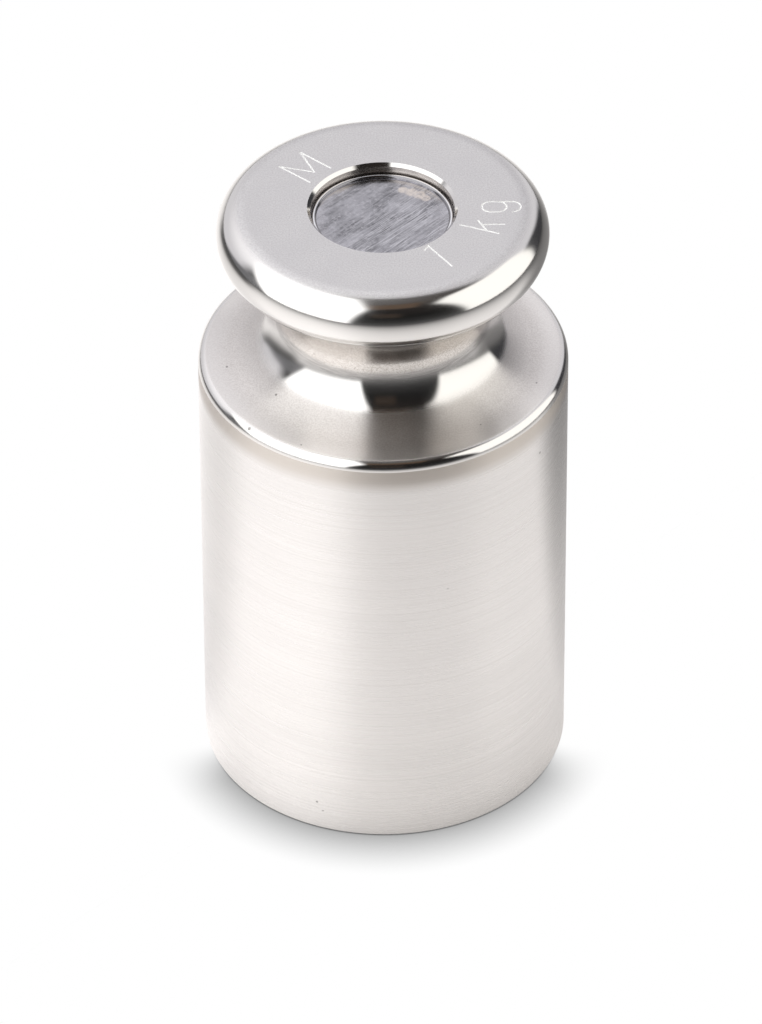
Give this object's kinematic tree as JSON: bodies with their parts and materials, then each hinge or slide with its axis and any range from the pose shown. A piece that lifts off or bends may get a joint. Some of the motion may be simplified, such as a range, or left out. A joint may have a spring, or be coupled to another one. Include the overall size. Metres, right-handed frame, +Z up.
{
  "type": "calibration weight",
  "caption": "Turned steel knob weight with a hollow lifting groove under a rounded knob, and a lead-sealed adjusting cavity in its top.",
  "frame": {"origin": "centre of the base, on the surface that the weight stands on", "axes": "+Z up along the turning axis, +X to the right of the engraved value's reading side"},
  "size_m": [0.048, 0.048, 0.0856],
  "materials": {
    "steel": "fine turned satin on the top, the shoulder and the side, polished on the knob's rim, the flare and the shoulder's edge",
    "lead": "soft grey lead, scraped across its face and burnished at its rim"
  },
  "bodies": {
    "root": {"weight_body": "steel", "seal_plug": "lead", "adjusting_shot": "lead"}
  },
  "joints": []
}
